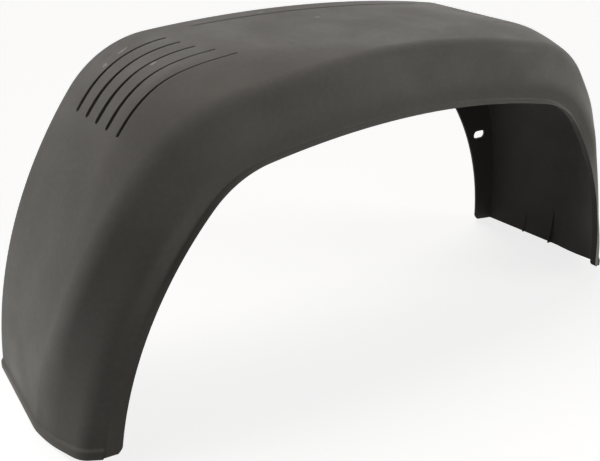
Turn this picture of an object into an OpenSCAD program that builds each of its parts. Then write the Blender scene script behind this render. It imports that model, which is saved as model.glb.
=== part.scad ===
// Plastic mudguard for a single trailer wheel, standing on its two feet.
// X runs along the guard, +Y points to the trailer, +Z is up and Z = 0 is the plane of the feet.
// The guard is the same front and back, so every value is given for one half.

/* [Overall] */
// Distance between the mounting face and the outermost edge of the lip, mm
guard_width = 220; // [180:1:260]
// Wall thickness of the moulding, mm
wall = 3; // [2:0.1:5]

/* [Tread profile at the mounting side] */
// Half of the length at the feet, mm
tread_half_length = 380.5; // [340:0.5:420]
// Height of the top of the tread, mm
tread_height = 353; // [300:1:400]
// Radius of the long arc over the top, mm
tread_top_radius = 1690; // [900:10:3000]
// Radius of the arc at the shoulder, mm
tread_shoulder_radius = 123; // [80:1:200]
// Radius of the arc down the leg, mm
tread_leg_radius = 503; // [400:1:800]
// Height of the centre of the leg arc of the tread, mm
tread_leg_centre_height = -5; // [-40:1:20]

/* [Lip profile at the outer side] */
// Distance along the guard from the front of the foot to the lip, mm
lip_foot_inset = 37; // [25:0.5:60]
// Height of the lower end of the lip above the feet, mm
lip_end_height = 15.5; // [5:0.5:30]
// Height of the top of the tread above the lip at the middle of the arch, mm
lip_top_drop = 71.5; // [55:0.5:95]
// Radius of the lip over the top, mm
lip_top_radius = 1000; // [600:10:2000]
// Radius of the lip at the shoulder, mm
lip_shoulder_radius = 105; // [60:1:160]
// Radius of the lip down the leg, mm
lip_leg_radius = 380; // [300:5:600]
// Height of the centre of the leg arc of the lip, mm
lip_leg_centre_height = -25; // [-60:1:20]
// Thickness of the lip across the guard, mm
lip_depth = 8.5; // [5:0.5:14]
// Distance across the guard from the edge of the lip to the fold behind it, mm
lip_stand_out = 5.5; // [2:0.5:10]

/* [Mounting flange] */
// Width of the flange at the lower end of its free edge, mm
flange_foot_width = 35.8; // [28:0.1:50]
// Width of the flange at the middle of the arch, mm
flange_top_width = 27.5; // [20:0.5:45]
// Height of the lower end of the free edge, mm
flange_end_height = 4; // [0:0.5:20]
// Distance along the guard from the front of the foot to the middle of a mounting slot, mm
mount_slot_inset = 51.5; // [48:0.5:55]
// Height of each mounting slot, mm
mount_slot_z = 143; // [100:0.5:180]
// Length of a mounting slot from end to end, mm
mount_slot_length = 22; // [14:0.5:40]
// Width of a mounting slot, mm
mount_slot_width = 11; // [8:0.5:13]
// Size of the rounded corner between the flange and the tread, mm
fold_corner = 4.5; // [4:0.5:10]

/* [Groove along the top] */
// Distance of the groove from the mounting face, mm
groove_inset = 24; // [18:0.5:36]
// Width of the groove, mm
groove_width = 2.4; // [1.5:0.1:4]
// Depth of the groove, mm
groove_depth = 1.1; // [0:0.1:1.5]
// Half of the length of the groove, mm
groove_half_length = 155; // [100:1:200]

/* [Slots in the shoulders] */
// Number of slots in each shoulder
slot_count = 5; // [1:1:5]
// Width of each slot at its lower end, mm
slot_low_widths = [5.5, 6, 6, 5.5, 4];
// Width of each slot at its upper end, mm
slot_top_widths = [3, 3, 2.6, 2.2, 1.4];
// Distance of the first slot from the mounting face, mm
slot_first_inset = 43.8; // [40:0.1:46]
// Distance from one slot to the next, mm
slot_spacing = 23.4; // [15:0.1:24]
// Distance along the tread from the foot to the lower ends of the slots, mm
slot_start = 297; // [250:1:330]
// Distance along the tread from the foot to the upper end of each slot, mm
slot_ends = [416.5, 419.5, 422.5, 431, 440.5];

/* [Feet] */
// Height of the thickened rim along the bottom edge, mm
rim_height = 11; // [6:0.5:20]
// How far the rim stands out, mm
rim_stand_out = 2.2; // [0:0.1:4]
// How far the lower end of the side wall dips at the lip, mm
lip_dip = 5; // [0:0.5:8]
// Slots, counted from the mounting side, that have a stiffening rib below them in each foot
rib_slots = [1, 3];
// Height of each of those ribs, mm
rib_heights = [32, 54];
// Depth of each rib at its lower end, mm
rib_depths = [3, 5.5];
// Thickness of a rib, mm
rib_thickness = 2; // [1.5:0.1:4]

/* [Shape along the arch] */
// Places where the values below hold, in percent of the way from the foot to the middle
places = [0, 10, 20, 30, 40, 50, 57.5, 65, 73.5, 83, 100];
// Slope of the tread across the guard, positive where it falls towards the outer side
tread_slope = [-0.07, -0.055, -0.04, -0.03, -0.03, -0.03, -0.02, 0.01, 0.005, 0.03, 0.05];
// Position across the guard of the soft crease, mm
soft_crease_y = [-16.5, -22.5, -32, -33.5, -32.5, -27, -24, -21.5, -21.5, -31, -38];
// Crown of the band between the creases, mm
band_crown = [0, 0, 0, 0, 0.5, 1, 1.5, 1.5, 1.5, 1, 0];
// Position across the guard of the sharp crease, mm
sharp_crease_y = [-40.5, -43, -51.5, -64, -75, -80, -85.5, -89.5, -94.5, -92, -84.5];
// Depth of the sharp crease below the tread profile, mm
sharp_crease_depth = [-6.5, -6.5, -7.5, -4.5, -1, 7, 14.5, 17, 14, 10.5, 8];
// Length of the rounding on each side of the sharp crease, mm
sharp_crease_round = [22.5, 19.5, 14.5, 12.5, 11.5, 11, 11.5, 11.5, 11.5, 12, 12];
// Outward bulge of the side wall, mm
side_bulge = [10, 7, 7.5, 8, 10, 8.5, 6.5, 5, 3.5, 3, 3];
// Width of the strip between the side wall and the edge of the lip, mm
lip_strip = [15, 11.5, 6, 4, 4, 4, 4, 4, 4, 4, 4];

/* [Sub-part] */
// Sub-part to build

/* [Hidden] */
$fn = 64;
plastic = [0.17, 0.165, 0.155];
face_y = guard_width / 2;
lip_y = -guard_width / 2;
lip_half_opening = tread_half_length - lip_foot_inset;
lip_height = tread_height - lip_top_drop;
mount_slot_x = tread_half_length - mount_slot_inset;
// The free edge of the flange is one arc through its two lower ends and its top
flange_end_x = tread_half_length - flange_foot_width;
flange_top_height = tread_height - flange_top_width;
flange_rise = flange_top_height - flange_end_height;
flange_edge_radius = (pow(flange_end_x, 2) + pow(flange_rise, 2)) / (2 * flange_rise);
flange_edge_centre_height = flange_top_height - flange_edge_radius;
// Where the slots start and stop narrowing, as shares of their length from the lower end
taper_start = 0.05;
taper_end = 0.65;
// Length of the smooth bend on each side of the soft crease
soft_crease_blend = 8;
// Where the side wall bulges most, as a share of its width from the sharp crease
bulge_place = 0.72;
// Heights over which the corners of the flange and of the lip are rounded at the feet
foot_corner = 9;
flange_corner_size = 6;
lip_corner_size = 4;
// Distance over which the dip at the lip fades out
dip_length = 35;

// The three arcs of an arch profile that meet without a kink, from the foot to the middle.
// Each arc is [centre, radius, start angle, length].
function arch(half, foot_z, top_z, r_top, r_shoulder, r_leg, leg_z) =
    let (
        c_top = [0, top_z - r_top],
        c_leg = [-half + sqrt(r_leg * r_leg - pow(foot_z - leg_z, 2)), leg_z],
        gap = norm(c_top - c_leg),
        u = (c_top - c_leg) / gap,
        d_leg = r_leg - r_shoulder,
        d_top = r_top - r_shoulder,
        m = (d_leg * d_leg - d_top * d_top + gap * gap) / (2 * gap),
        h = sqrt(d_leg * d_leg - m * m),
        c_shoulder = c_leg + u * m + [u[1], -u[0]] * h,
        a_foot = atan2(foot_z - leg_z, -half - c_leg[0]),
        a_leg = atan2(c_shoulder[1] - c_leg[1], c_shoulder[0] - c_leg[0]),
        a_top = atan2(c_shoulder[1] - c_top[1], c_shoulder[0] - c_top[0])
    )
    [
        [c_leg, r_leg, a_foot, r_leg * (a_foot - a_leg) * PI / 180],
        [c_shoulder, r_shoulder, a_leg, r_shoulder * (a_leg - a_top) * PI / 180],
        [c_top, r_top, a_top, r_top * (a_top - 90) * PI / 180]
    ];
function arch_length(p) = p[0][3] + p[1][3] + p[2][3];

tread_profile = arch(tread_half_length, 0, tread_height, tread_top_radius,
    tread_shoulder_radius, tread_leg_radius, tread_leg_centre_height);
lip_profile = arch(lip_half_opening, lip_end_height, lip_height, lip_top_radius,
    lip_shoulder_radius, lip_leg_radius, lip_leg_centre_height);
tread_length = arch_length(tread_profile);
lip_length = arch_length(lip_profile);

// Point and outward direction on an arc at the distance s from its start: [x, z, nx, nz]
function on_arc(arc, s) =
    let (a = arc[2] - s / arc[1] * 180 / PI)
    [arc[0][0] + arc[1] * cos(a), arc[0][1] + arc[1] * sin(a), cos(a), sin(a)];

// Point and outward direction on a profile at the distance s from its foot
function on_arch(p, s) =
    s <= p[0][3] ? on_arc(p[0], s) :
    s <= p[0][3] + p[1][3] ? on_arc(p[1], s - p[0][3]) :
    on_arc(p[2], s - p[0][3] - p[1][3]);

// Smooth curve through the values given at the places, at the distance s from the foot
knots = [for (q = places) q / 100 * tread_length];
last_knot = len(knots) - 1;
function rise(v, i) =
    i == 0 || i == last_knot ? 0 : (v[i + 1] - v[i - 1]) / (knots[i + 1] - knots[i - 1]);
function span_at(s, i = 0) = i >= last_knot - 1 || s < knots[i + 1] ? i : span_at(s, i + 1);
function along(v, s) =
    let (
        i = span_at(s),
        w = knots[i + 1] - knots[i],
        t = min(1, (s - knots[i]) / w),
        a = rise(v, i) * w,
        b = rise(v, i + 1) * w
    )
    v[i] * (2 * t * t * t - 3 * t * t + 1) + a * (t * t * t - 2 * t * t + t)
    + v[i + 1] * (3 * t * t - 2 * t * t * t) + b * (t * t * t - t * t);

// Zero below -w, a straight ramp above w and a smooth bend between
function ramp(u, w) = u <= -w ? 0 : u >= w ? u : (u + w) * (u + w) / (4 * w);
function smooth(t) = let (c = max(0, min(1, t))) c * c * (3 - 2 * c);
function unit(v) = v / norm(v);

// Depth of the tread below its profile at a distance s along it and a position y across it
function tread_depth(s, y) =
    let (
        y1 = along(soft_crease_y, s),
        y2 = along(sharp_crease_y, s),
        slope = along(tread_slope, s),
        band_slope = (along(sharp_crease_depth, s) - slope * (face_y - y2)) / (y1 - y2),
        q = max(0, min(1, (y1 - y) / (y1 - y2)))
    )
    slope * (face_y - y) + band_slope * ramp(y1 - y, soft_crease_blend)
    - along(band_crown, s) * 4 * q * (1 - q);

// Point of the tread; d is the profile's point and direction at s, and extra is added depth
function tread_point(d, s, y, extra = 0) =
    let (depth = tread_depth(s, y) + extra)
    [d[0] - d[2] * depth, y, d[1] - d[3] * depth];

// Point at the share t of a rounded corner at b between a and c
function corner_point(a, b, c, trim_a, trim_c, t) =
    (b + unit(a - b) * trim_a) * (1 - t) * (1 - t)
    + b * 2 * t * (1 - t)
    + (b + unit(c - b) * trim_c) * t * t;

// Profile point and direction, level at the foot so that the foot ends in one plane
function frame_at(s) = let (b = on_arch(tread_profile, s)) s == 0 ? [b[0], 0, -1, 0] : b;

// How much of the groove there is at the position x along the guard
function groove_share(x) = smooth((groove_half_length + 6 - abs(x)) / 12);
function slot_y(k) = face_y - slot_first_inset - slot_spacing * k;
// Half width of slot k at the distance s, half of that at the rounded lower end of the slots
function slot_half(k, s) =
    let (
        f = (s - slot_start) / (slot_ends[k] - slot_start),
        narrowing = smooth((f - taper_start) / (taper_end - taper_start)),
        width = slot_low_widths[k] + (slot_top_widths[k] - slot_low_widths[k]) * narrowing
    )
    width / (abs(s - slot_start) < 0.1 ? 4 : 2);
// How much the foot is cut round at a corner, 1 at the bottom and 0 above the corner
function foot_share(s) = pow(max(0, foot_corner - s) / foot_corner, 2);

function flange_edge_point(f, s) =
    let (
        start = 180 - asin((flange_end_height - flange_edge_centre_height) / flange_edge_radius),
        a = start + (90 - start) * f,
        cut = flange_corner_size * foot_share(s)
    )
    [(flange_edge_radius + cut) * cos(a), face_y,
        flange_edge_centre_height + (flange_edge_radius + cut) * sin(a) - cut / 4];

// Points of one section of the outer surface at the distance s along the tread, from the free
// edge of the flange over the tread and down the side wall to the edge of the lip. Near the feet
// the columns that bound the slots higher up close up to leave room for the sharp crease.
groove_steps = [[0.5, 0], [0.15, 1], [-0.15, 1], [-0.5, 0]];
function section(s) =
    let (
        d = frame_at(s),
        out = [d[2], 0, d[3]],
        f = s / tread_length,
        fold = [d[0], face_y, d[1]],
        y2 = along(sharp_crease_y, s),
        r2 = along(sharp_crease_round, s),
        crease_depth = along(sharp_crease_depth, s),
        crease = [d[0] - d[2] * crease_depth, y2, d[1] - d[3] * crease_depth],
        above_crease = tread_point(d, s, y2 + r2),
        l = on_arch(lip_profile, f * lip_length),
        cut = lip_corner_size * foot_share(s),
        tip = [l[0] + l[2] * cut, lip_y, l[1] + l[3] * cut],
        w = along(lip_strip, s),
        dip = lip_dip * pow(max(0, 1 - s / dip_length), 2),
        strip = [l[0] + l[2] * w, lip_y + lip_stand_out, l[1] + l[3] * w - dip],
        across = strip - crease,
        side_out = unit([-d[2] * across[1], across * out, -d[3] * across[1]]),
        middle = crease + across * bulge_place + side_out * along(side_bulge, s),
        y_first = slot_y(0) + slot_low_widths[0],
        y_last = slot_y(slot_count - 1) - slot_low_widths[slot_count - 1] / 2,
        y_end = max(y_last, y2 + r2 + 2),
        squeeze = (y_first - y_end) / (y_first - y_last),
        below_crease = corner_point(above_crease, crease, middle, r2, r2, 1),
        side_start = corner_point(crease, middle, strip, 12, 8, 0)
    )
    concat(
        [flange_edge_point(f, s), fold - out * 12],
        [for (t = [0, 0.33, 0.67, 1])
            corner_point(fold - out, fold, tread_point(d, s, face_y - 20), fold_corner,
                fold_corner, t)],
        [for (g = groove_steps)
            tread_point(d, s, face_y - groove_inset + g[0] * groove_width,
                g[1] * groove_depth * groove_share(d[0]))],
        [for (k = [0 : slot_count - 1], e = [1, -1])
            tread_point(d, s, y_first - (y_first - slot_y(k) - e * slot_half(k, s)) * squeeze)],
        [for (t = [0.33, 0.67]) tread_point(d, s, y_end + (y2 + r2 - y_end) * t)],
        [for (t = [0, 0.25, 0.5, 0.75, 1])
            corner_point(above_crease, crease, middle, r2, r2, t)],
        [(below_crease + side_start) / 2],
        [for (t = [0, 0.33, 0.67, 1]) corner_point(crease, middle, strip, 12, 8, t)],
        [for (t = [0, 0.5, 1]) corner_point(middle, strip, tip, 1.2, 1.2, t)],
        [tip]
    );

// Distances along the tread of the sections of one half
function steps(a, b, n) = [for (i = [0 : n - 1]) a + (b - a) * i / n];
half_stations = concat(
    [0, 4, rim_height - 3.5, rim_height, rim_height + 6],
    steps(30, slot_start, 11),
    [slot_start],
    steps(slot_start + 1.3, slot_ends[0], 10),
    slot_ends,
    [for (i = [1 : 8]) slot_ends[4] + (tread_length - slot_ends[4]) * i / 8]
);
half_count = len(half_stations) - 1;
last = 2 * half_count;
outer_half = [for (s = half_stations) section(s)];
columns = len(outer_half[0]);
// First columns of the fold, the groove, the slots and the lip
fold_column = 2;
groove_column = 6;
slot_column = 10;
strip_column = columns - 4;

// Outward direction of the outer surface at section i and column j
function outward(i, j) =
    let (
        row = outer_half[i],
        across = row[min(j + 1, columns - 1)] - row[max(j - 1, 0)],
        on = outer_half[min(i + 1, half_count)][j] - outer_half[max(i - 1, 0)][j]
    )
    unit(cross(unit(across), unit(i == half_count ? [on[0], 0, 0] : on)));

// The rim stands out level from the tread and the side wall
rim_half = [for (i = [0 : half_count]) [for (j = [0 : columns - 1])
    let (
        n = outward(i, j),
        stand_out = rim_stand_out * smooth((rim_height - half_stations[i]) / 3.5)
    )
    outer_half[i][j]
        + (j < fold_column + 2 || j > strip_column + 1 ? [0, 0, 0] : [n[0], n[1], 0] * stand_out)]];

// The inner surface lies one wall below the outer one, without its groove and its rim. The edge
// of the lip is thicker, and the bottom of the feet is level from the outside to the inside.
function inner_point(i, j) =
    let (
        p = outer_half[i][j],
        in_groove = j > groove_column && j < groove_column + 3,
        thickness = wall - (in_groove ? groove_depth * groove_share(p[0]) : 0)
    )
    j == columns - 1 ? [p[0], lip_y + lip_depth, p[2]] :
    j < fold_column ? [p[0], face_y - wall, p[2]] :
    p - outward(i, j) * thickness;
inner_half = [for (i = [0 : half_count]) [for (j = [0 : columns - 1])
    let (p = inner_point(i, j))
    i == 0 ? [p[0], p[1], outer_half[i][j][2]] :
    i == half_count ? [0, p[1], p[2]] :
    p]];

// Both halves in one row of sections, the second half mirrored
function mirrored(half, i, j) =
    i <= half_count ? half[i][j] : let (p = half[last - i][j]) [-p[0], p[1], p[2]];
points = concat(
    [for (i = [0 : last], j = [0 : columns - 1]) mirrored(rim_half, i, j)],
    [for (i = [0 : last], j = [0 : columns - 1]) mirrored(inner_half, i, j)]
);
inner_shift = (last + 1) * columns;
function o(i, j) = i * columns + j;
function n(i, j) = inner_shift + i * columns + j;

// True for the cells of the grid that are open slots
slot_first = search(slot_start, half_stations)[0];
slot_last = [for (e = slot_ends) search(e, half_stations)[0]];
function is_slot(i, j) =
    let (
        k = (j - slot_column) / 2,
        h = i < half_count ? i : last - 1 - i
    )
    k >= 0 && k < slot_count && k == floor(k) && h >= slot_first && h < slot_last[k];

function quad(a, b, c, d) = [[a, b, c], [a, c, d]];
faces = [
    // Outer and inner surfaces
    for (i = [0 : last - 1], j = [0 : columns - 2])
        if (!is_slot(i, j))
            each concat(
                quad(o(i, j), o(i, j + 1), o(i + 1, j + 1), o(i + 1, j)),
                quad(n(i, j), n(i + 1, j), n(i + 1, j + 1), n(i, j + 1))
            ),
    // Walls of the slots
    for (i = [0 : last - 1], j = [0 : columns - 2])
        if (is_slot(i, j))
            each concat(
                quad(o(i, j), o(i + 1, j), n(i + 1, j), n(i, j)),
                quad(o(i, j + 1), n(i, j + 1), n(i + 1, j + 1), o(i + 1, j + 1)),
                is_slot(i - 1, j) ? [] : quad(o(i, j), n(i, j), n(i, j + 1), o(i, j + 1)),
                is_slot(i + 1, j) ? [] :
                    quad(o(i + 1, j), o(i + 1, j + 1), n(i + 1, j + 1), n(i + 1, j))
            ),
    // Free edges of the flange and of the lip
    for (i = [0 : last - 1])
        each concat(
            quad(o(i, 0), o(i + 1, 0), n(i + 1, 0), n(i, 0)),
            quad(o(i, columns - 1), n(i, columns - 1), n(i + 1, columns - 1), o(i + 1, columns - 1))
        ),
    // Bottom edges of the feet
    for (j = [0 : columns - 2])
        each concat(
            quad(o(0, j), n(0, j), n(0, j + 1), o(0, j + 1)),
            quad(o(last, j), o(last, j + 1), n(last, j + 1), n(last, j))
        )
];

module shell() {
    polyhedron(points = points, faces = faces, convexity = 10);
}

// Oblong hole for one mounting bolt, cut along Y
module mount_slot(x) {
    half_straight = (mount_slot_length - mount_slot_width) / 2;
    for (e = [-1, 1])
        translate([x + e * half_straight, face_y + 2, mount_slot_z])
            rotate([90, 0, 0])
                cylinder(d = mount_slot_width, h = wall + 4);
    translate([x - half_straight, face_y - wall - 2, mount_slot_z - mount_slot_width / 2])
        cube([2 * half_straight, wall + 4, mount_slot_width]);
}

// Tapered rib inside the left foot, below one of the slots; it starts in the middle of the wall
module foot_rib(slot, height, depth) {
    y = slot_y(slot);
    share = [0, 0.25, 0.5, 0.75, 1];
    root = [for (t = share) let (p = tread_point(frame_at(height * t), height * t, y, wall / 2))
        [p[0], p[2]]];
    edge = [for (t = share) let (p = tread_point(frame_at(height * t), height * t, y,
        wall + depth * (1 - t))) [p[0], p[2]]];
    translate([0, y + rib_thickness / 2, 0])
        rotate([90, 0, 0])
            linear_extrude(rib_thickness)
                polygon(concat(root, [for (i = [len(share) - 1 : -1 : 0]) edge[i]]));
}

module foot_ribs() {
    for (i = [0 : len(rib_slots) - 1])
        foot_rib(rib_slots[i], rib_heights[i], rib_depths[i]);
}

module mudguard() {
    color(plastic)
        difference() {
            union() {
                shell();
                foot_ribs();
                mirror([1, 0, 0])
                    foot_ribs();
            }
            mount_slot(mount_slot_x);
            mount_slot(-mount_slot_x);
        }
}

mudguard();
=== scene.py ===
"""The looks of the trailer mudguard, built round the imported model.

The guard is drawn again as a finer, smoother mesh with rounded edges, from the same sizes as the
part's source. Lengths are in millimetres until a mesh is made, and in metres for the lamps, the
floor and how far the camera sees.
"""
import math

import bmesh
import bpy
import numpy as np
from mathutils import Matrix, Vector


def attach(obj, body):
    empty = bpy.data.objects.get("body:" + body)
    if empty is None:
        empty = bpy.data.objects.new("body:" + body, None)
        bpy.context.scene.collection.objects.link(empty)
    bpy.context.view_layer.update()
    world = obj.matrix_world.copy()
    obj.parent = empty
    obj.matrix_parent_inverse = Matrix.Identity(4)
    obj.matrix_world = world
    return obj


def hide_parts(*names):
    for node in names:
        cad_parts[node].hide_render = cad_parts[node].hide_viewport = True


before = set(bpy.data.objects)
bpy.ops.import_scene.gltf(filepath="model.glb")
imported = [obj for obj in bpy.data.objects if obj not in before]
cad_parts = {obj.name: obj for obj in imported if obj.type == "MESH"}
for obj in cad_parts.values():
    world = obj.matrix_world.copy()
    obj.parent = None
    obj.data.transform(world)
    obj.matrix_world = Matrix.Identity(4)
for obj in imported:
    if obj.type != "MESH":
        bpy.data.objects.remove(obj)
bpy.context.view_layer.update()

MM = 0.001

# Sizes of the guard, as in the part's source
FACE_Y = 110.0
LIP_Y = -110.0
WALL = 3.0
TREAD = dict(half=380.5, foot_z=0.0, top_z=353.0, r_top=1690.0, r_shoulder=123.0, r_leg=503.0, leg_z=-5.0)
LIP = dict(half=343.5, foot_z=15.5, top_z=281.5, r_top=1000.0, r_shoulder=105.0, r_leg=380.0, leg_z=-25.0)
LIP_DEPTH = 8.5
LIP_STAND_OUT = 5.5
FLANGE_END_Z = 4.0
FLANGE_FOOT_WIDTH = 35.8
FLANGE_TOP_WIDTH = 27.5
FLANGE_END_X = TREAD["half"] - FLANGE_FOOT_WIDTH
FLANGE_TOP_Z = TREAD["top_z"] - FLANGE_TOP_WIDTH
FLANGE_RISE = FLANGE_TOP_Z - FLANGE_END_Z
FLANGE_EDGE_RADIUS = (FLANGE_END_X ** 2 + FLANGE_RISE ** 2) / (2 * FLANGE_RISE)
FLANGE_EDGE_CENTRE_Z = FLANGE_TOP_Z - FLANGE_EDGE_RADIUS
FOLD_CORNER = 4.5
FOLD_REACH = 20.0
MOUNT_SLOT = dict(x=329.0, z=143.0, length=22.0, width=11.0)
GROOVE_INSET = 24.0
GROOVE_WIDTH = 2.4
GROOVE_DEPTH = 1.1
GROOVE_HALF_LENGTH = 155.0
GROOVE_RUN_OUT = 6.0
SLOT_COUNT = 5
SLOT_LOW_WIDTHS = [5.5, 6.0, 6.0, 5.5, 4.0]
SLOT_TOP_WIDTHS = [3.0, 3.0, 2.6, 2.2, 1.4]
TAPER_START = 0.05
TAPER_END = 0.65
SLOT_FIRST_INSET = 43.8
SLOT_SPACING = 23.4
SLOT_START = 297.0
SLOT_ENDS = [416.5, 419.5, 422.5, 431.0, 440.5]
RIM_HEIGHT = 11.0
RIM_FADE = 3.5
RIM_STAND_OUT = 2.2
RIM_FOLD_START = 0.35
LIP_DIP = 5.0
DIP_LENGTH = 35.0
RIBS = [dict(slot=1, height=32.0, depth=3.0), dict(slot=3, height=54.0, depth=5.5)]
RIB_THICKNESS = 2.0
SOFT_CREASE_BLEND = 8.0
BULGE_PLACE = 0.72
BULGE_CORNER_ABOVE = 12.0
BULGE_CORNER_BELOW = 8.0
STRIP_CORNER = 1.2
FOOT_CORNER = 9.0
FLANGE_CORNER_SIZE = 6.0
FLANGE_CORNER_DROP = 0.25
LIP_CORNER_SIZE = 4.0

# Values along the arch, at these percentages of the way from the foot to the middle
PLACES = [0, 10, 20, 30, 40, 50, 57.5, 65, 73.5, 83, 100]
TREAD_SLOPE = [-0.07, -0.055, -0.04, -0.03, -0.03, -0.03, -0.02, 0.01, 0.005, 0.03, 0.05]
SOFT_CREASE_Y = [-16.5, -22.5, -32, -33.5, -32.5, -27, -24, -21.5, -21.5, -31, -38]
BAND_CROWN = [0, 0, 0, 0, 0.5, 1, 1.5, 1.5, 1.5, 1, 0]
SHARP_CREASE_Y = [-40.5, -43, -51.5, -64, -75, -80, -85.5, -89.5, -94.5, -92, -84.5]
SHARP_CREASE_DEPTH = [-6.5, -6.5, -7.5, -4.5, -1, 7, 14.5, 17, 14, 10.5, 8]
SHARP_CREASE_ROUND = [22.5, 19.5, 14.5, 12.5, 11.5, 11, 11.5, 11.5, 11.5, 12, 12]
SIDE_BULGE = [10, 7, 7.5, 8, 10, 8.5, 6.5, 5, 3.5, 3, 3]
LIP_STRIP = [15, 11.5, 6, 4, 4, 4, 4, 4, 4, 4, 4]

# How finely the mesh follows the shape, and how round its edges are
EDGE_ROUND = 0.5
EDGE_STEPS = 3
RIB_STEPS = 9
RIB_EDGE_ROUND = 0.25
RIB_EDGE_STEPS = 2
RIB_SHARP_ANGLE = 50.0
SLOPE_STEP = 0.5
SHORTEST_LENGTH = 1e-12
LEVEL_RAY = 1e-9

# Columns of the mesh, from the flange's edge over the tread and down to the lip
FLANGE_COLUMNS = 11
FOLD_COLUMNS = 9
BEFORE_GROOVE_INSETS = (9, 14, 19)
GROOVE_SHARES = (1.0, 0.75, 0.5, 0.25, 0, -0.25, -0.5, -0.75, -1.0)
GROOVE_TO_SLOTS_POINTS = 6
SLOT_PATCH = 4.5
SLOT_PATCH_COLUMNS = 4
SLOT_GAP_SHARES = (0.25, 0.5, 0.75)
SLOT_COLUMN_STEP = SLOT_PATCH_COLUMNS + 1 + len(SLOT_GAP_SHARES)
CREASE_MARGIN = 2.0
ABOVE_CREASE_POINTS = 9
CREASE_POINTS = 13
SIDE_POINTS = 6
BULGE_POINTS = 9
STRIP_POINTS = 5
COLUMNS_WITHOUT_RIM = 6
HOLE_PATCH_COLUMNS = (1, 9)

# Stations of the mesh, as distances along the tread from the foot to the middle
FOOT_STATIONS = [0, 1, 2.5, 4, 5.5, 7, 8, 9, 10, 11, 12.5, 15, 19, 24, 29]
LEG_POINTS = 52
SLOT_PATCH_START = 2.0
SLOT_PATCH_END = 1.0
SLOT_LOW_MARGIN = 3.5
SLOT_HIGH_MARGIN = 4.0
SLOT_POINTS = 24
BETWEEN_SLOT_ENDS = [427.5, 436.5]
TOP_POINTS = 36
HOLE_PATCH_STATIONS = 4

# Camera, found from the photograph
CAMERA_PLACE = (-584.98, -685.426, 520.689)
CAMERA_YAW = 0.6431445
CAMERA_PITCH = 0.4305710
CAMERA_ROLL = 0.0386896
CAMERA_FOCAL_PX = 844.271
IMAGE_WIDTH_PX = 600
SENSOR_WIDTH = 36.0
CLIP_END = 50.0

# Plastic: colours, gloss and grain, and the marks on it with places and sizes in millimetres
PLASTIC_DARK = (0.150, 0.142, 0.129)
PLASTIC_LIGHT = (0.178, 0.169, 0.153)
DUST = (0.245, 0.230, 0.210)
SCUFF_COLOUR = (0.46, 0.42, 0.39)
SMUDGE_COLOUR = (0.075, 0.070, 0.062)
PLASTIC_SPECULAR = 0.15
PLASTIC_SMOOTHEST = 0.46
PLASTIC_ROUGHEST = 0.60
GRAIN_HEIGHT = 0.5
SCUFFS = [
    dict(place=(-238, 78, 330), turn=(0, -30, 15), size=(6, 2.2, 6)),
    dict(place=(-237, 15, 331), turn=(0, -30, 30), size=(4, 2.2, 5)),
    dict(place=(-258, 75, 319), turn=(0, -38, -10), size=(3, 3.0, 6)),
    dict(place=(-66, 95, 351), turn=(0, 0, 8), size=(5, 1.6, 4)),
    dict(place=(-22, 50, 350), turn=(0, 0, -12), size=(4, 1.4, 4)),
]
SMUDGE = dict(place=(-251, 90, 323), turn=(0, -35, 0), size=(9, 6, 8))
MARK_CORE = 0.55
MARK_EDGE = 1.25
SCUFF_STRENGTH = 0.85
SCUFF_ROUGHNESS = 0.15
SMUDGE_STRENGTH = 0.35

# Noise in the plastic, and the range of it that each layer uses and what it becomes
NOISE_ROUGHNESS = 0.55
CLOUDS = dict(scale=7.0, detail=4.0, low=0.3, high=0.7, to_low=0.0, to_high=1.0)
MOTTLE = dict(scale=190.0, detail=3.0, low=0.45, high=0.75, to_low=0.0, to_high=0.22)
DRAG = dict(scale=260.0, detail=3.0, roughness=0.7, low=0.62, high=0.8, to_low=0.0, to_high=1.0)
DRAG_PATCHES = dict(scale=11.0, detail=2.0, low=0.45, high=0.65, to_low=0.0, to_high=1.0)
DRAG_TURN = (0, 0, 2)
DRAG_STRETCH = (14.0, 1.0, 1.0)
DRAG_STRENGTH = 0.25
DRAG_DEPTH = 0.05
BREAKUP = dict(scale=420.0, detail=3.0, low=0.3, high=0.7, to_low=-0.45, to_high=0.45)
GLOSS = dict(scale=24.0, detail=5.0, low=0.3, high=0.7, to_low=PLASTIC_SMOOTHEST, to_high=PLASTIC_ROUGHEST)
GRAIN = dict(scale=1500.0, detail=2.0)
GRAIN_SHARE = 0.06
WAVES = dict(scale=16.0, detail=2.0)

# Numbers of a Mix node's sockets for colours, because their names aren't theirs alone
MIX_COLOUR_INPUTS = (6, 7)
MIX_COLOUR_OUTPUT = 2

# Light: wide suns from azimuth and elevation in degrees, soft lamps close by with places and
# sizes in metres, and how the surroundings look
SUN_WIDTH = 35.0
SUNS = [
    dict(name="above", azimuth=180, elevation=70, strength=0.70, colour=(1.0, 0.94, 0.91)),
    dict(name="back", azimuth=180, elevation=15, strength=0.35, colour=(1.0, 0.94, 0.91)),
    dict(name="front_right", azimuth=52, elevation=16, strength=0.90, colour=(1.0, 1.0, 0.96)),
]
LAMPS = [
    dict(name="low_left", place=(-0.72, 0.12, 0.05), target=(-0.38, -0.03, 0.05), size=0.3, power=0.65),
    dict(name="top_left", place=(-0.55, 0.0, 0.75), target=(-0.25, -0.05, 0.3), size=0.4, power=0.60),
    dict(name="front", place=(0.15, -0.9, 0.45), target=(0.05, -0.1, 0.3), size=0.5, power=0.50),
]
FLOOR_REACH = 20.0
FLOOR_GLOW = 0.80
FLOOR_PALE = (0.5, 0.5, 0.5)
FLOOR_BOUNCE = (0.12, 0.12, 0.12)
WORLD_FILL = 0.0


def unit(v):
    """The vectors v, each with a length of 1."""
    return v / np.maximum(np.linalg.norm(v, axis=-1, keepdims=True), SHORTEST_LENGTH)


def smooth(t):
    """Goes from 0 to 1 as t does, level at both ends."""
    c = np.clip(t, 0, 1)
    return c * c * (3 - 2 * c)


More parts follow.
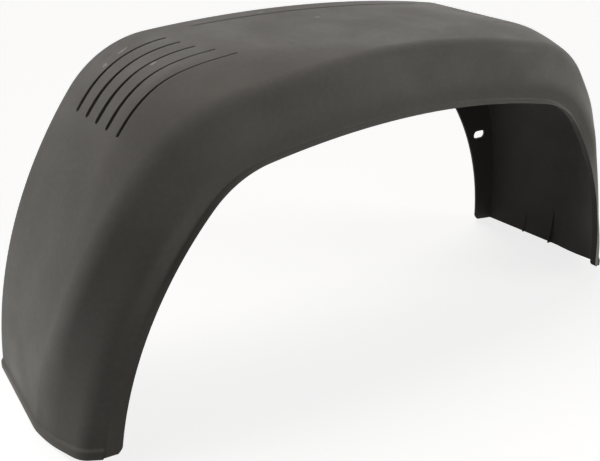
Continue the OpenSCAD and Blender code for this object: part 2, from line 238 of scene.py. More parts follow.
def ramp(u, w):
    """Zero below -w, a straight ramp above w and a smooth bend between."""
    return np.where(u <= -w, 0, np.where(u >= w, u, (u + w) ** 2 / (4 * w)))


def make_arch(half, foot_z, top_z, r_top, r_shoulder, r_leg, leg_z):
    """Three arcs that meet without a kink: centres, radii, start angles and lengths."""
    c_top = np.array([0, top_z - r_top])
    c_leg = np.array([-half + math.sqrt(r_leg ** 2 - (foot_z - leg_z) ** 2), leg_z])
    gap = np.linalg.norm(c_top - c_leg)
    u = (c_top - c_leg) / gap
    d_leg = r_leg - r_shoulder
    d_top = r_top - r_shoulder
    m = (d_leg ** 2 - d_top ** 2 + gap ** 2) / (2 * gap)
    h = math.sqrt(d_leg ** 2 - m ** 2)
    c_shoulder = c_leg + u * m + np.array([u[1], -u[0]]) * h
    a_foot = math.atan2(foot_z - leg_z, -half - c_leg[0])
    a_leg = math.atan2(c_shoulder[1] - c_leg[1], c_shoulder[0] - c_leg[0])
    a_top = math.atan2(c_shoulder[1] - c_top[1], c_shoulder[0] - c_top[0])
    leg = r_leg * (a_foot - a_leg)
    shoulder = r_shoulder * (a_leg - a_top)
    top = r_top * (a_top - math.pi / 2)
    return dict(centre=np.array([c_leg, c_shoulder, c_top]),
                radius=np.array([r_leg, r_shoulder, r_top]),
                angle=np.array([a_foot, a_leg, a_top]),
                start=np.array([0, leg, leg + shoulder]),
                length=leg + shoulder + top)


def on_arch(arch, s):
    """Points and outward directions (x, z) on an arch at the distances s from its foot."""
    k = np.clip(np.searchsorted(arch["start"], s, side="right") - 1, 0, 2)
    a = arch["angle"][k] - (s - arch["start"][k]) / arch["radius"][k]
    direction = np.stack([np.cos(a), np.sin(a)], -1)
    return arch["centre"][k] + arch["radius"][k][..., None] * direction, direction


tread_arch = make_arch(**TREAD)
lip_arch = make_arch(**LIP)
TREAD_LENGTH = tread_arch["length"]
KNOTS = np.array(PLACES) / 100 * TREAD_LENGTH


def along(values, s):
    """Smooth curve through the values at PLACES, at the distances s from the foot."""
    v = np.asarray(values, float)
    slope = np.zeros(len(v))
    slope[1:-1] = (v[2:] - v[:-2]) / (KNOTS[2:] - KNOTS[:-2])
    i = np.clip(np.searchsorted(KNOTS, s, side="right") - 1, 0, len(v) - 2)
    w = KNOTS[i + 1] - KNOTS[i]
    t = np.minimum(1, (s - KNOTS[i]) / w)
    return (v[i] * (2 * t ** 3 - 3 * t ** 2 + 1) + slope[i] * w * (t ** 3 - 2 * t ** 2 + t)
            + v[i + 1] * (3 * t ** 2 - 2 * t ** 3) + slope[i + 1] * w * (t ** 3 - t ** 2))


def frame_at(s):
    """Profile points and directions, level at the foot so that the foot ends in one plane."""
    p, d = on_arch(tread_arch, s)
    at_foot = (s == 0)[..., None]
    return p, np.where(at_foot, np.array([-1.0, 0.0]), d)


def tread_points(s, y, extra=0.0):
    """Points of the tread at the distances s along it and the positions y across it."""
    p, d = frame_at(s)
    y1 = along(SOFT_CREASE_Y, s)
    y2 = along(SHARP_CREASE_Y, s)
    slope = along(TREAD_SLOPE, s)
    band = (along(SHARP_CREASE_DEPTH, s) - slope * (FACE_Y - y2)) / (y1 - y2)
    q = np.clip((y1 - y) / (y1 - y2), 0, 1)
    crown = along(BAND_CROWN, s) * 4 * q * (1 - q)
    depth = slope * (FACE_Y - y) + band * ramp(y1 - y, SOFT_CREASE_BLEND) - crown + extra
    return np.stack([p[..., 0] - d[..., 0] * depth, y + 0 * s, p[..., 1] - d[..., 1] * depth], -1)


def corner(a, b, c, trim_a, trim_c, t):
    """Points at the share t of a rounded corner at b between a and c."""
    p = b + unit(a - b) * trim_a
    q = b + unit(c - b) * trim_c
    return p * (1 - t) ** 2 + b * 2 * t * (1 - t) + q * t ** 2


def inner_shares(count):
    """Even shares from 0 to 1 without the two ends."""
    return np.linspace(0, 1, count)[1:-1]


def slot_y(k):
    """Position across the tread of the middle of slot k."""
    return FACE_Y - SLOT_FIRST_INSET - SLOT_SPACING * k


def column_plan():
    """Positions across the tread of the columns from the fold to the last slot."""
    before = [FACE_Y - inset for inset in BEFORE_GROOVE_INSETS]
    groove = [FACE_Y - GROOVE_INSET + GROOVE_WIDTH * g for g in GROOVE_SHARES]
    gap = SLOT_SPACING - 2 * SLOT_PATCH
    slots = []
    for k in range(SLOT_COUNT):
        y = slot_y(k)
        slots += [y + SLOT_PATCH, y + SLOT_PATCH / 2, y, y - SLOT_PATCH / 2, y - SLOT_PATCH]
        if k < SLOT_COUNT - 1:
            slots += [y - SLOT_PATCH - gap * g for g in SLOT_GAP_SHARES]
    between = np.linspace(groove[-1], slots[0], GROOVE_TO_SLOTS_POINTS)[1:-1]
    return before, groove, list(between), slots


BEFORE_Y, GROOVE_Y, BETWEEN_Y, SLOT_COLUMNS_Y = column_plan()
SLOT_COLUMN = FLANGE_COLUMNS + FOLD_COLUMNS + len(BEFORE_Y) + len(GROOVE_Y) + len(BETWEEN_Y)


def sections(s, with_groove):
    """Sections of the outer surface at the distances s, as an array (station, column, xyz)."""
    p, d = frame_at(s)
    out = np.stack([d[:, 0], 0 * s, d[:, 1]], -1)
    f = s / TREAD_LENGTH
    fold = np.stack([p[:, 0], FACE_Y + 0 * s, p[:, 1]], -1)
    foot_share = (np.maximum(0, FOOT_CORNER - s) / FOOT_CORNER) ** 2

    start = math.pi - math.asin((FLANGE_END_Z - FLANGE_EDGE_CENTRE_Z) / FLANGE_EDGE_RADIUS)
    a = start + (math.pi / 2 - start) * f
    cut = FLANGE_CORNER_SIZE * foot_share
    r = FLANGE_EDGE_RADIUS + cut
    edge = np.stack([r * np.cos(a), FACE_Y + 0 * s, FLANGE_EDGE_CENTRE_Z + r * np.sin(a)
                     - cut * FLANGE_CORNER_DROP], -1)

    y2 = along(SHARP_CREASE_Y, s)
    r2 = along(SHARP_CREASE_ROUND, s)
    crease_depth = along(SHARP_CREASE_DEPTH, s)
    crease = np.stack([p[:, 0] - d[:, 0] * crease_depth, y2, p[:, 1] - d[:, 1] * crease_depth], -1)
    above_crease = tread_points(s, y2 + r2)

    lip, lip_out = on_arch(lip_arch, np.minimum(f, 1) * lip_arch["length"])
    cut = LIP_CORNER_SIZE * foot_share
    tip = np.stack([lip[:, 0] + lip_out[:, 0] * cut, LIP_Y + 0 * s, lip[:, 1] + lip_out[:, 1] * cut], -1)
    w = along(LIP_STRIP, s)
    dip = LIP_DIP * np.maximum(0, 1 - s / DIP_LENGTH) ** 2
    strip = np.stack([lip[:, 0] + lip_out[:, 0] * w, LIP_Y + LIP_STAND_OUT + 0 * s,
                      lip[:, 1] + lip_out[:, 1] * w - dip], -1)
    across = strip - crease
    inward = (across * out).sum(1)
    side_out = unit(np.stack([-d[:, 0] * across[:, 1], inward, -d[:, 1] * across[:, 1]], -1))
    middle = crease + across * BULGE_PLACE + side_out * along(SIDE_BULGE, s)[:, None]
    r2 = r2[:, None]

    fold_end = tread_points(s, FACE_Y - FOLD_REACH + 0 * s)
    fold_arc = [corner(fold - out, fold, fold_end, FOLD_CORNER, FOLD_CORNER, t)
                for t in np.linspace(0, 1, FOLD_COLUMNS)]
    columns = [edge + (fold_arc[0] - edge) * t
               for t in np.linspace(0, 1, FLANGE_COLUMNS, endpoint=False)]
    columns += fold_arc
    columns += [tread_points(s, y + 0 * s) for y in BEFORE_Y]
    before_end = GROOVE_HALF_LENGTH + GROOVE_RUN_OUT - np.abs(p[:, 0])
    share = smooth(before_end / (2 * GROOVE_RUN_OUT)) * (1.0 if with_groove else 0.0)
    for y in GROOVE_Y:
        reach = (y - FACE_Y + GROOVE_INSET) / GROOVE_WIDTH
        groove_form = 0.5 + 0.5 * math.cos(math.pi * reach)
        columns.append(tread_points(s, y + 0 * s, GROOVE_DEPTH * groove_form * share))
    columns += [tread_points(s, y + 0 * s) for y in BETWEEN_Y]
    y_first = SLOT_COLUMNS_Y[0]
    y_last = SLOT_COLUMNS_Y[-1]
    y_end = np.maximum(y_last, y2 + r2[:, 0] + CREASE_MARGIN)
    squeeze = (y_first - y_end) / (y_first - y_last)
    columns += [tread_points(s, y_first - (y_first - y) * squeeze) for y in SLOT_COLUMNS_Y]
    columns += [tread_points(s, y_end + (y2 + r2[:, 0] - y_end) * t)
                for t in inner_shares(ABOVE_CREASE_POINTS)]
    columns += [corner(above_crease, crease, middle, r2, r2, t) for t in np.linspace(0, 1, CREASE_POINTS)]
    bulge = [corner(crease, middle, strip, BULGE_CORNER_ABOVE, BULGE_CORNER_BELOW, t)
             for t in np.linspace(0, 1, BULGE_POINTS)]
    columns += [columns[-1] + (bulge[0] - columns[-1]) * t for t in inner_shares(SIDE_POINTS)]
    columns += bulge
    columns += [corner(middle, strip, tip, STRIP_CORNER, STRIP_CORNER, t)
                for t in np.linspace(0, 1, STRIP_POINTS)]
    columns.append((columns[-1] + tip) / 2)
    columns.append(tip)
    return np.stack(columns, 1)


def make_stations():
    """Distances along the tread of the sections of one half."""
    leg = list(np.linspace(FOOT_STATIONS[-1], SLOT_START - SLOT_PATCH_START, LEG_POINTS)[1:])
    slots = list(np.linspace(SLOT_START + SLOT_LOW_MARGIN, SLOT_ENDS[0] - SLOT_HIGH_MARGIN, SLOT_POINTS))
    ends = [e + SLOT_PATCH_END for e in SLOT_ENDS] + BETWEEN_SLOT_ENDS
    top = list(np.linspace(SLOT_ENDS[-1] + SLOT_PATCH_END, TREAD_LENGTH, TOP_POINTS)[1:])
    return np.array(FOOT_STATIONS + leg + slots + sorted(ends) + top)


STATIONS = make_stations()
HALF = len(STATIONS) - 1


def whole(half_grid):
    """A half grid and its mirror image in one row of sections."""
    return np.concatenate([half_grid, half_grid[-2::-1] * [-1, 1, 1]])


def grid_normals(grid):
    """Normals of a grid of points, from its slopes along and across."""
    on = np.gradient(grid, axis=0)
    across = np.gradient(grid, axis=1)
    return unit(np.cross(unit(across), unit(on)))


class MeshBuilder:
    """Vertices with their normals, and faces."""

    def __init__(self):
        self.points = []
        self.normals = []
        self.faces = []

    def add(self, points, normals):
        """Adds rows of points and returns their numbers in the same shape."""
        points = np.asarray(points, float)
        normals = np.broadcast_to(normals, points.shape)
        first = sum(len(p) for p in self.points)
        self.points.append(points.reshape(-1, 3))
        self.normals.append(normals.reshape(-1, 3))
        return first + np.arange(points.size // 3).reshape(points.shape[:-1])

    def band(self, row_a, row_b):
        """Faces between two closed rows of as many points."""
        for i in range(len(row_a)):
            k = (i + 1) % len(row_a)
            self.faces.append((row_a[i], row_a[k], row_b[k], row_b[i]))

    def to_object(self, name):
        """The points and faces as a mesh object in metres, with these normals."""
        points = np.concatenate(self.points) * MM
        normals = unit(np.concatenate(self.normals))
        mesh = bpy.data.meshes.new(name)
        mesh.from_pydata(points.tolist(), [], [tuple(int(v) for v in f) for f in self.faces])
        mesh.shade_smooth()
        mesh.normals_split_custom_set_from_vertices(normals.tolist())
        mesh.update()
        obj = bpy.data.objects.new(name, mesh)
        bpy.context.collection.objects.link(obj)
        return obj


def rounded_wall(builder, outer, inner, n_outer, n_inner, behind_outer, behind_inner, flip=False):
    """The edge of the sheet between its outer and inner surfaces, with both corners rounded.

    The points behind lie in the surfaces, a little inside the edge. Returns the first and the
    last row, which lie in the two surfaces.
    """
    rows = []
    across = unit(inner - outer)
    shares = np.linspace(0, 1, EDGE_STEPS + 1)
    for edge, behind, other, normal, order in ((outer, behind_outer, inner, n_outer, shares),
                                               (inner, behind_inner, outer, n_inner, shares[::-1])):
        way = edge - behind
        out = unit(way - across * (way * across).sum(-1, keepdims=True))
        for t in order:
            points = corner(behind, edge, other, EDGE_ROUND, EDGE_ROUND, t)
            rows.append(builder.add(points, unit(normal * (1 - t) + out * t)))
    for a, b in zip(rows[:-1], rows[1:]):
        builder.band(*((b, a) if flip else (a, b)))
    return rows[0], rows[-1]


def patch_loop(i0, i1, j0, j1):
    """Grid places round a patch, in one turn."""
    loop = [(i0, j) for j in range(j0, j1)]
    loop += [(i, j1) for i in range(i0, i1)]
    loop += [(i1, j) for j in range(j1, j0, -1)]
    loop += [(i, j0) for i in range(i1, i0, -1)]
    return loop


def nearest(values, value):
    """Number of the one of the values that is closest to this value."""
    return int(np.argmin(np.abs(np.asarray(values) - value)))


def slot_half(k, s):
    """Half of the width of slot k at the distances s along the tread."""
    f = (np.asarray(s, float) - SLOT_START) / (SLOT_ENDS[k] - SLOT_START)
    narrowing = smooth((f - TAPER_START) / (TAPER_END - TAPER_START))
    return (SLOT_LOW_WIDTHS[k] + (SLOT_TOP_WIDTHS[k] - SLOT_LOW_WIDTHS[k]) * narrowing) / 2


def slot_outline(k, i0, i1):
    """Points (s, y) round slot k, one for each place of its patch's loop, and on its middle line."""
    y = slot_y(k)
    low_half = float(slot_half(k, SLOT_START))
    high_half = float(slot_half(k, SLOT_ENDS[k]))
    low = SLOT_START + low_half
    high = SLOT_ENDS[k] - high_half
    turn = np.linspace(0, math.pi, SLOT_PATCH_COLUMNS + 1)
    sides = np.clip(STATIONS[i0 + 1:i1], low, high)
    halves = slot_half(k, sides)
    outline = [(low - low_half * math.sin(a), y + low_half * math.cos(a)) for a in turn]
    middle = [(low, y)] * len(turn)
    outline += [(s, y - h) for s, h in zip(sides, halves)]
    middle += [(s, y) for s in sides]
    outline += [(high + high_half * math.sin(a), y - high_half * math.cos(a)) for a in turn]
    middle += [(high, y)] * len(turn)
    outline += [(s, y + h) for s, h in zip(sides[::-1], halves[::-1])]
    middle += [(s, y) for s in sides[::-1]]
    return np.array(outline), np.array(middle)


def stadium_point(direction, half_straight, radius):
    """Where a ray from the middle of an oblong hole meets its outline."""
    x, z = direction
    if abs(z) > LEVEL_RAY and abs(x / z) * radius <= half_straight:
        return direction * radius / abs(z)
    along_x = half_straight * abs(x)
    reach = along_x + math.sqrt(max(0, along_x ** 2 - half_straight ** 2 + radius ** 2))
    return direction * reach


def mirror_rows(points):
    """The points on the other half of the guard."""
    return points * [-1, 1, 1]


def build_shell():
    """The guard as one closed mesh: two surfaces, their free edges, the slots and the bolt holes."""
    builder = MeshBuilder()
    plain = whole(sections(STATIONS, False))
    grooved = whole(sections(STATIONS, True))
    last_row = plain.shape[0] - 1
    last_column = plain.shape[1] - 1
    s_all = np.concatenate([STATIONS, STATIONS[-2::-1]])

    normals = grid_normals(plain)
    outer_normals = grid_normals(grooved)
    normals[:, :FLANGE_COLUMNS + 1] = [0, 1, 0]
    outer_normals[:, :FLANGE_COLUMNS + 1] = [0, 1, 0]

    rim = RIM_STAND_OUT * smooth((RIM_HEIGHT - s_all) / RIM_FADE)[:, None]
    fold_share = (np.arange(last_column + 1) - FLANGE_COLUMNS) / (FOLD_COLUMNS - 1)
    has_rim = smooth((fold_share - RIM_FOLD_START) / (1 - RIM_FOLD_START))
    has_rim[-COLUMNS_WITHOUT_RIM:] = 0
    level = normals * [1, 1, 0]
    outer = grooved + level * (rim * has_rim)[..., None]
    outer[..., 1] = np.minimum(outer[..., 1], FACE_Y)
    outer_normals = np.where((rim * has_rim)[..., None] > 0, grid_normals(outer), outer_normals)

    inner = plain - normals * WALL
    lip_inner = plain[:, last_column] + [0, LIP_DEPTH, 0]
    inner[:, last_column] = lip_inner
    inner[:, last_column - 1] = (inner[:, last_column - 2] + lip_inner) / 2
    for i in (0, last_row):
        inner[i, :, 2] = outer[i, :, 2]
    inner_normals = -grid_normals(inner)
    inner_normals[:, :FLANGE_COLUMNS + 1] = [0, -1, 0]

    # Along their border the two surfaces end in the first and the last row of the wall
    border = patch_loop(0, last_row, 0, last_column)
    bi = np.array([b[0] for b in border])
    bj = np.array([b[1] for b in border])
    toward = [(1 if i == 0 else -1 if i == last_row else 0,
               1 if j == 0 else -1 if j == last_column else 0) for i, j in border]
    neighbours = np.array([(i + a, j + b) for (i, j), (a, b) in zip(border, toward)])
    ni, nj = neighbours[:, 0], neighbours[:, 1]

    first, last = rounded_wall(builder, outer[bi, bj], inner[bi, bj], outer_normals[bi, bj],
                               inner_normals[bi, bj], outer[ni, nj], inner[ni, nj], flip=True)
    outer_ids = np.full(outer.shape[:2], -1)
    inner_ids = np.full(outer.shape[:2], -1)
    outer_ids[bi, bj] = first
    inner_ids[bi, bj] = last
    outer_ids[1:-1, 1:-1] = builder.add(outer[1:-1, 1:-1], outer_normals[1:-1, 1:-1])
    inner_ids[1:-1, 1:-1] = builder.add(inner[1:-1, 1:-1], inner_normals[1:-1, 1:-1])

    open_cells = np.zeros((last_row, last_column), bool)

    def open_patch(i0, i1, j0, j1, edge, n, t):
        """Replaces a patch of both surfaces by the ring round a hole with this edge.

        n is the normal of the outer surface there, and t points into the hole.
        """
        loop = patch_loop(i0, i1, j0, j1)
        through = edge - n * WALL
        rows = rounded_wall(builder, edge, through, n, -n, edge - t, through - t)
        builder.band([outer_ids[p] for p in loop], rows[0])
        builder.band(rows[1], [inner_ids[p] for p in loop])
        open_cells[i0:i1, j0:j1] = True

    for k in range(SLOT_COUNT):
        i0 = nearest(STATIONS, SLOT_START - SLOT_PATCH_START)
        i1 = nearest(STATIONS, SLOT_ENDS[k] + SLOT_PATCH_END)
        j0 = SLOT_COLUMN + SLOT_COLUMN_STEP * k
        j1 = j0 + SLOT_PATCH_COLUMNS
        outline, middle = slot_outline(k, i0, i1)
        s, y = outline[:, 0], outline[:, 1]
        edge = tread_points(s, y)
        on = tread_points(s + SLOPE_STEP, y) - tread_points(s - SLOPE_STEP, y)
        across = tread_points(s, y - SLOPE_STEP) - tread_points(s, y + SLOPE_STEP)
        n = unit(np.cross(across, on))
        t = tread_points(middle[:, 0], middle[:, 1]) - edge
        t = unit(t - n * (t * n).sum(1)[:, None])
        open_patch(i0, i1, j0, j1, edge, n, t)
        # The mirrored slot goes round its patch the same way, so its points run backwards
        m0, m1 = last_row - i1, last_row - i0
        loop = patch_loop(i0, i1, j0, j1)
        places = {place: number for number, place in enumerate(loop)}
        order = [places[(last_row - i, j)] for i, j in patch_loop(m0, m1, j0, j1)]
        edge, n, t = (mirror_rows(v)[order] for v in (edge, n, t))
        open_patch(m0, m1, j0, j1, edge, n, t)

    half_straight = (MOUNT_SLOT["length"] - MOUNT_SLOT["width"]) / 2
    radius = MOUNT_SLOT["width"] / 2
    j0, j1 = HOLE_PATCH_COLUMNS
    for side in (-1, 1):
        centre = np.array([side * MOUNT_SLOT["x"], MOUNT_SLOT["z"]])
        rows = slice(0, HALF) if side < 0 else slice(HALF, last_row + 1)
        distance = np.linalg.norm(plain[rows, (j0 + j1) // 2][:, [0, 2]] - centre, axis=1)
        i = int(distance.argmin()) + (0 if side < 0 else HALF)
        i0, i1 = i - HOLE_PATCH_STATIONS, i + HOLE_PATCH_STATIONS
        loop = patch_loop(i0, i1, j0, j1)
        rays = unit(np.array([plain[p][[0, 2]] for p in loop]) - centre)
        outline = centre + np.array([stadium_point(r, half_straight, radius) for r in rays])
        edge = np.stack([outline[:, 0], FACE_Y + 0 * outline[:, 0], outline[:, 1]], -1)
        spine = np.clip(outline[:, 0] - centre[0], -half_straight, half_straight) + centre[0]
        t = unit(np.stack([spine - outline[:, 0], 0 * spine, centre[1] - outline[:, 1]], -1))
        n = np.broadcast_to([0.0, 1.0, 0.0], edge.shape)
        open_patch(i0, i1, j0, j1, edge, n, t)

    for i in range(last_row):
        for j in range(last_column):
            if not open_cells[i, j]:
                a, b, c, d = (i, j), (i, j + 1), (i + 1, j + 1), (i + 1, j)
                builder.faces.append(tuple(outer_ids[p] for p in (a, b, c, d)))
                builder.faces.append(tuple(inner_ids[p] for p in (a, d, c, b)))
    return builder


def noise(tree, source, scale, detail, roughness=NOISE_ROUGHNESS):
    """Noise in the guard's own space; source is the socket with the position."""
    node = tree.nodes.new("ShaderNodeTexNoise")
    node.inputs["Scale"].default_value = scale
    node.inputs["Detail"].default_value = detail
    node.inputs["Roughness"].default_value = roughness
    tree.links.new(source, node.inputs["Vector"])
    return node.outputs["Fac"]


def remap(tree, value, low, high, to_low, to_high):
    """The value's range from low to high, spread over another range and cut off at its ends."""
    node = tree.nodes.new("ShaderNodeMapRange")
    node.inputs["From Min"].default_value = low
    node.inputs["From Max"].default_value = high
    node.inputs["To Min"].default_value = to_low
    node.inputs["To Max"].default_value = to_high
    tree.links.new(value, node.inputs["Value"])
    return node.outputs["Result"]


def noise_layer(tree, source, low, high, to_low, to_high, **kind):
    """Noise with one part of its range spread over another range."""
    return remap(tree, noise(tree, source, **kind), low, high, to_low, to_high)


def combine(tree, operation, a, b):
    """A Math node's result from two values; each is a number or a socket."""
    node = tree.nodes.new("ShaderNodeMath")
    node.operation = operation
    for socket, value in zip(node.inputs, (a, b)):
        if isinstance(value, (int, float)):
            socket.default_value = value
        else:
            tree.links.new(value, socket)
    return node.outputs[0]


def blend_colour(tree, share, below, above):
    """Colour between below and above; each is a colour or a socket."""
    node = tree.nodes.new("ShaderNodeMix")
    node.data_type = "RGBA"
    tree.links.new(share, node.inputs["Factor"])
    for number, colour in zip(MIX_COLOUR_INPUTS, (below, above)):
        socket = node.inputs[number]
        if isinstance(colour, tuple):
            socket.default_value = (*colour, 1)
        else:
            tree.links.new(colour, socket)
    return node.outputs[MIX_COLOUR_OUTPUT]


def stretched(tree, position, place=(0, 0, 0), turn=(0, 0, 0), size=(1, 1, 1)):
    """The position measured from a place, turned and divided by a size along each axis."""
    node = tree.nodes.new("ShaderNodeMapping")
    node.vector_type = "TEXTURE"
    node.inputs["Location"].default_value = [v * MM for v in place]
    node.inputs["Rotation"].default_value = [math.radians(v) for v in turn]
    node.inputs["Scale"].default_value = size
    tree.links.new(position, node.inputs["Vector"])
    return node.outputs["Vector"]


def mark(tree, position, breakup, place, turn, size):
    """A mark: 1 in its middle, fading and broken up towards its edge."""
    away = tree.nodes.new("ShaderNodeVectorMath")
    away.operation = "LENGTH"
    tree.links.new(stretched(tree, position, place, turn, [v * MM for v in size]), away.inputs[0])
    ragged = combine(tree, "ADD", away.outputs["Value"], breakup)
    return remap(tree, ragged, MARK_CORE, MARK_EDGE, 1.0, 0.0)


def soft_plastic():
    """Warm dark-grey satin plastic: grain, faint clouds and drag lines, pale scuffs and a smudge."""
    material = bpy.data.materials.new("mudguard_plastic")
    material.use_nodes = True
    tree = material.node_tree
    shader = tree.nodes["Principled BSDF"]
    shader.inputs["Specular IOR Level"].default_value = PLASTIC_SPECULAR
    shader.inputs["Metallic"].default_value = 0.0
    position = tree.nodes.new("ShaderNodeTexCoord").outputs["Object"]

    clouds = noise_layer(tree, position, **CLOUDS)
    colour = blend_colour(tree, clouds, PLASTIC_DARK, PLASTIC_LIGHT)
    mottle = noise_layer(tree, position, **MOTTLE)
    colour = blend_colour(tree, mottle, colour, DUST)

    along_guard = stretched(tree, position, turn=DRAG_TURN, size=DRAG_STRETCH)
    drag = noise_layer(tree, along_guard, **DRAG)
    patches = noise_layer(tree, position, **DRAG_PATCHES)
    drag = combine(tree, "MULTIPLY", drag, patches)
    colour = blend_colour(tree, combine(tree, "MULTIPLY", drag, DRAG_STRENGTH), colour, DUST)

    breakup = noise_layer(tree, position, **BREAKUP)
    pale = 0.0
    for scuff in SCUFFS:
        pale = combine(tree, "MAXIMUM", pale, mark(tree, position, breakup, **scuff))
    colour = blend_colour(tree, combine(tree, "MULTIPLY", pale, SCUFF_STRENGTH), colour, SCUFF_COLOUR)
    dark = mark(tree, position, breakup, **SMUDGE)
    colour = blend_colour(tree, combine(tree, "MULTIPLY", dark, SMUDGE_STRENGTH), colour, SMUDGE_COLOUR)
    tree.links.new(colour, shader.inputs["Base Color"])

    rough = noise_layer(tree, position, **GLOSS)
    rough = combine(tree, "ADD", rough, combine(tree, "MULTIPLY", pale, SCUFF_ROUGHNESS))
    tree.links.new(rough, shader.inputs["Roughness"])

    grain = noise(tree, position, **GRAIN)
    waves = noise(tree, position, **WAVES)
    height = combine(tree, "ADD", combine(tree, "MULTIPLY", grain, GRAIN_SHARE), waves)
    height = combine(tree, "SUBTRACT", height, combine(tree, "MULTIPLY", drag, DRAG_DEPTH))
    bump = tree.nodes.new("ShaderNodeBump")
    bump.inputs["Strength"].default_value = 1.0
    bump.inputs["Distance"].default_value = GRAIN_HEIGHT * MM
    tree.links.new(height, bump.inputs["Height"])
    tree.links.new(bump.outputs["Normal"], shader.inputs["Normal"])
    return material


def build_ribs():
    """Tapered ribs inside both feet, rooted in the middle of the wall, with softened edges."""
    form = bmesh.new()
    share = np.linspace(0, 1, RIB_STEPS)
    for rib in RIBS:
        s = rib["height"] * share
        y = slot_y(rib["slot"])
        root = tread_points(s, y + 0 * s, WALL / 2)
        edge = tread_points(s, y + 0 * s, WALL + rib["depth"] * (1 - share))
        outline = np.concatenate([root, edge[::-1]])
        for side in (-1, 1):
            near, far = [[form.verts.new(Vector(p + [0, offset, 0]) * MM)
                          for p in outline * [-side, 1, 1]]
                         for offset in (-RIB_THICKNESS / 2, RIB_THICKNESS / 2)]
            form.faces.new(near)
            form.faces.new(far)
            for k in range(len(near)):
                n = (k + 1) % len(near)
                form.faces.new((near[k], near[n], far[n], far[k]))
    bmesh.ops.recalc_face_normals(form, faces=form.faces)
    bmesh.ops.bevel(form, geom=form.edges, offset=RIB_EDGE_ROUND * MM, segments=RIB_EDGE_STEPS,
                    affect="EDGES", clamp_overlap=True)
    mesh = bpy.data.meshes.new("mudguard_foot_ribs")
    form.to_mesh(mesh)
    form.free()
    mesh.shade_smooth()
    mesh.set_sharp_from_angle(angle=math.radians(RIB_SHARP_ANGLE))
    obj = bpy.data.objects.new("mudguard_foot_ribs", mesh)
    bpy.context.collection.objects.link(obj)
    return obj


def camera_axes():
    """Directions to the right, up and forward as the camera sees them."""
    level = math.cos(CAMERA_PITCH)
    forward = Vector((math.sin(CAMERA_YAW) * level, math.cos(CAMERA_YAW) * level, -math.sin(CAMERA_PITCH)))
    right = Vector((math.cos(CAMERA_YAW), -math.sin(CAMERA_YAW), 0))
    up = right.cross(forward)
    c, s = math.cos(CAMERA_ROLL), math.sin(CAMERA_ROLL)
    return right * c + up * s, up * c - right * s, forward


def add_camera():
    """The camera at the photograph's viewing angle."""
    data = bpy.data.cameras.new("camera")
    data.sensor_width = SENSOR_WIDTH
    data.lens = CAMERA_FOCAL_PX / IMAGE_WIDTH_PX * SENSOR_WIDTH
    data.clip_end = CLIP_END
    obj = bpy.data.objects.new("camera", data)
    right, up, forward = camera_axes()
    turn = Matrix((right, up, -forward)).transposed().to_4x4()
    obj.matrix_world = Matrix.Translation(Vector(CAMERA_PLACE) * MM) @ turn
    bpy.context.collection.objects.link(obj)
    bpy.context.scene.camera = obj


def add_sun(name, azimuth, elevation, strength, colour):
    """A wide, soft light from far away; azimuth 0 is the outer side and 90 the right end."""
    data = bpy.data.lights.new(name, "SUN")
    data.energy = strength
    data.angle = math.radians(SUN_WIDTH)
    data.color = colour
    obj = bpy.data.objects.new(name, data)
    a, e = math.radians(azimuth), math.radians(elevation)
    toward = Vector((math.sin(a) * math.cos(e), -math.cos(a) * math.cos(e), math.sin(e)))
    obj.rotation_euler = toward.to_track_quat("Z", "Y").to_euler()
    bpy.context.collection.objects.link(obj)


def add_lamp(name, place, target, size, power):
    """A soft lamp close to the guard, which the camera doesn't see."""
    data = bpy.data.lights.new(name, "AREA")
    data.shape = "SQUARE"
    data.size = size
    data.energy = power
    obj = bpy.data.objects.new(name, data)
    obj.location = place
    obj.rotation_euler = (Vector(target) - Vector(place)).to_track_quat("-Z", "Y").to_euler()
    obj.visible_camera = False
    bpy.context.collection.objects.link(obj)


def seen_directly(tree):
    """1 for rays from the camera, off gloss and through glass, 0 for the rest."""
    path = tree.nodes.new("ShaderNodeLightPath")
    total = path.outputs["Is Camera Ray"]
    for kind in ("Is Glossy Ray", "Is Transmission Ray"):
        larger = tree.nodes.new("ShaderNodeMath")
        larger.operation = "MAXIMUM"
        tree.links.new(total, larger.inputs[0])
        tree.links.new(path.outputs[kind], larger.inputs[1])
        total = larger.outputs[0]
    return total


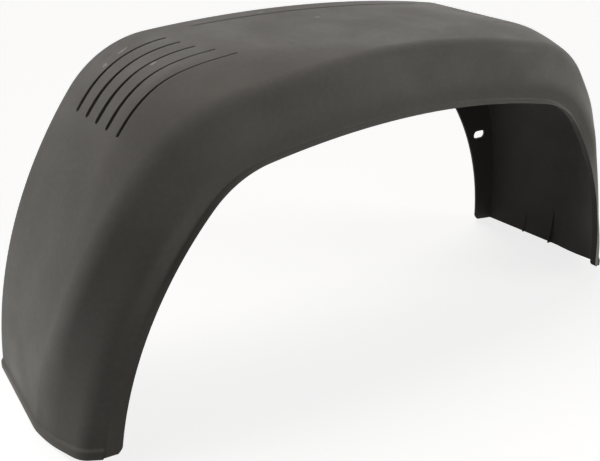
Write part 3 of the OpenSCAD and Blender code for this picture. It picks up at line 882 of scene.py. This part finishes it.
def add_floor():
    """A pale floor that keeps the guard's shadow and throws little light back up."""
    mesh = bpy.data.meshes.new("floor")
    corners = [(-FLOOR_REACH, -FLOOR_REACH, 0), (FLOOR_REACH, -FLOOR_REACH, 0),
               (FLOOR_REACH, FLOOR_REACH, 0), (-FLOOR_REACH, FLOOR_REACH, 0)]
    mesh.from_pydata(corners, [], [(0, 1, 2, 3)])
    obj = bpy.data.objects.new("floor", mesh)
    bpy.context.collection.objects.link(obj)
    material = bpy.data.materials.new("pale_floor")
    material.use_nodes = True
    tree = material.node_tree
    nodes = tree.nodes
    nodes.remove(nodes["Principled BSDF"])
    glow = nodes.new("ShaderNodeEmission")
    glow.inputs["Color"].default_value = (1, 1, 1, 1)
    glow.inputs["Strength"].default_value = FLOOR_GLOW
    pale = nodes.new("ShaderNodeBsdfDiffuse")
    pale.inputs["Color"].default_value = (*FLOOR_PALE, 1)
    both = nodes.new("ShaderNodeAddShader")
    tree.links.new(glow.outputs[0], both.inputs[0])
    tree.links.new(pale.outputs[0], both.inputs[1])
    dim = nodes.new("ShaderNodeBsdfDiffuse")
    dim.inputs["Color"].default_value = (*FLOOR_BOUNCE, 1)
    mix = nodes.new("ShaderNodeMixShader")
    tree.links.new(seen_directly(tree), mix.inputs["Fac"])
    tree.links.new(dim.outputs[0], mix.inputs[1])
    tree.links.new(both.outputs[0], mix.inputs[2])
    tree.links.new(mix.outputs[0], nodes["Material Output"].inputs["Surface"])
    mesh.materials.append(material)


def set_world():
    """White where it is seen; how much of it lights the guard is WORLD_FILL."""
    world = bpy.data.worlds.new("studio")
    bpy.context.scene.world = world
    world.use_nodes = True
    tree = world.node_tree
    soft = tree.nodes["Background"]
    soft.inputs["Color"].default_value = (1, 1, 1, 1)
    soft.inputs["Strength"].default_value = WORLD_FILL
    white = tree.nodes.new("ShaderNodeBackground")
    white.inputs["Color"].default_value = (1, 1, 1, 1)
    white.inputs["Strength"].default_value = 1.0
    mix = tree.nodes.new("ShaderNodeMixShader")
    tree.links.new(seen_directly(tree), mix.inputs["Fac"])
    tree.links.new(soft.outputs[0], mix.inputs[1])
    tree.links.new(white.outputs[0], mix.inputs[2])
    tree.links.new(mix.outputs[0], tree.nodes["World Output"].inputs["Surface"])


plastic = soft_plastic()
for piece in (build_shell().to_object("mudguard_shell"), build_ribs()):
    piece.data.materials.append(plastic)
    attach(piece, "root")
    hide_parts("mudguard")

add_camera()
add_floor()
set_world()
for sun in SUNS:
    add_sun(**sun)
for lamp in LAMPS:
    add_lamp(**lamp)
bpy.context.scene.view_settings.view_transform = "Standard"
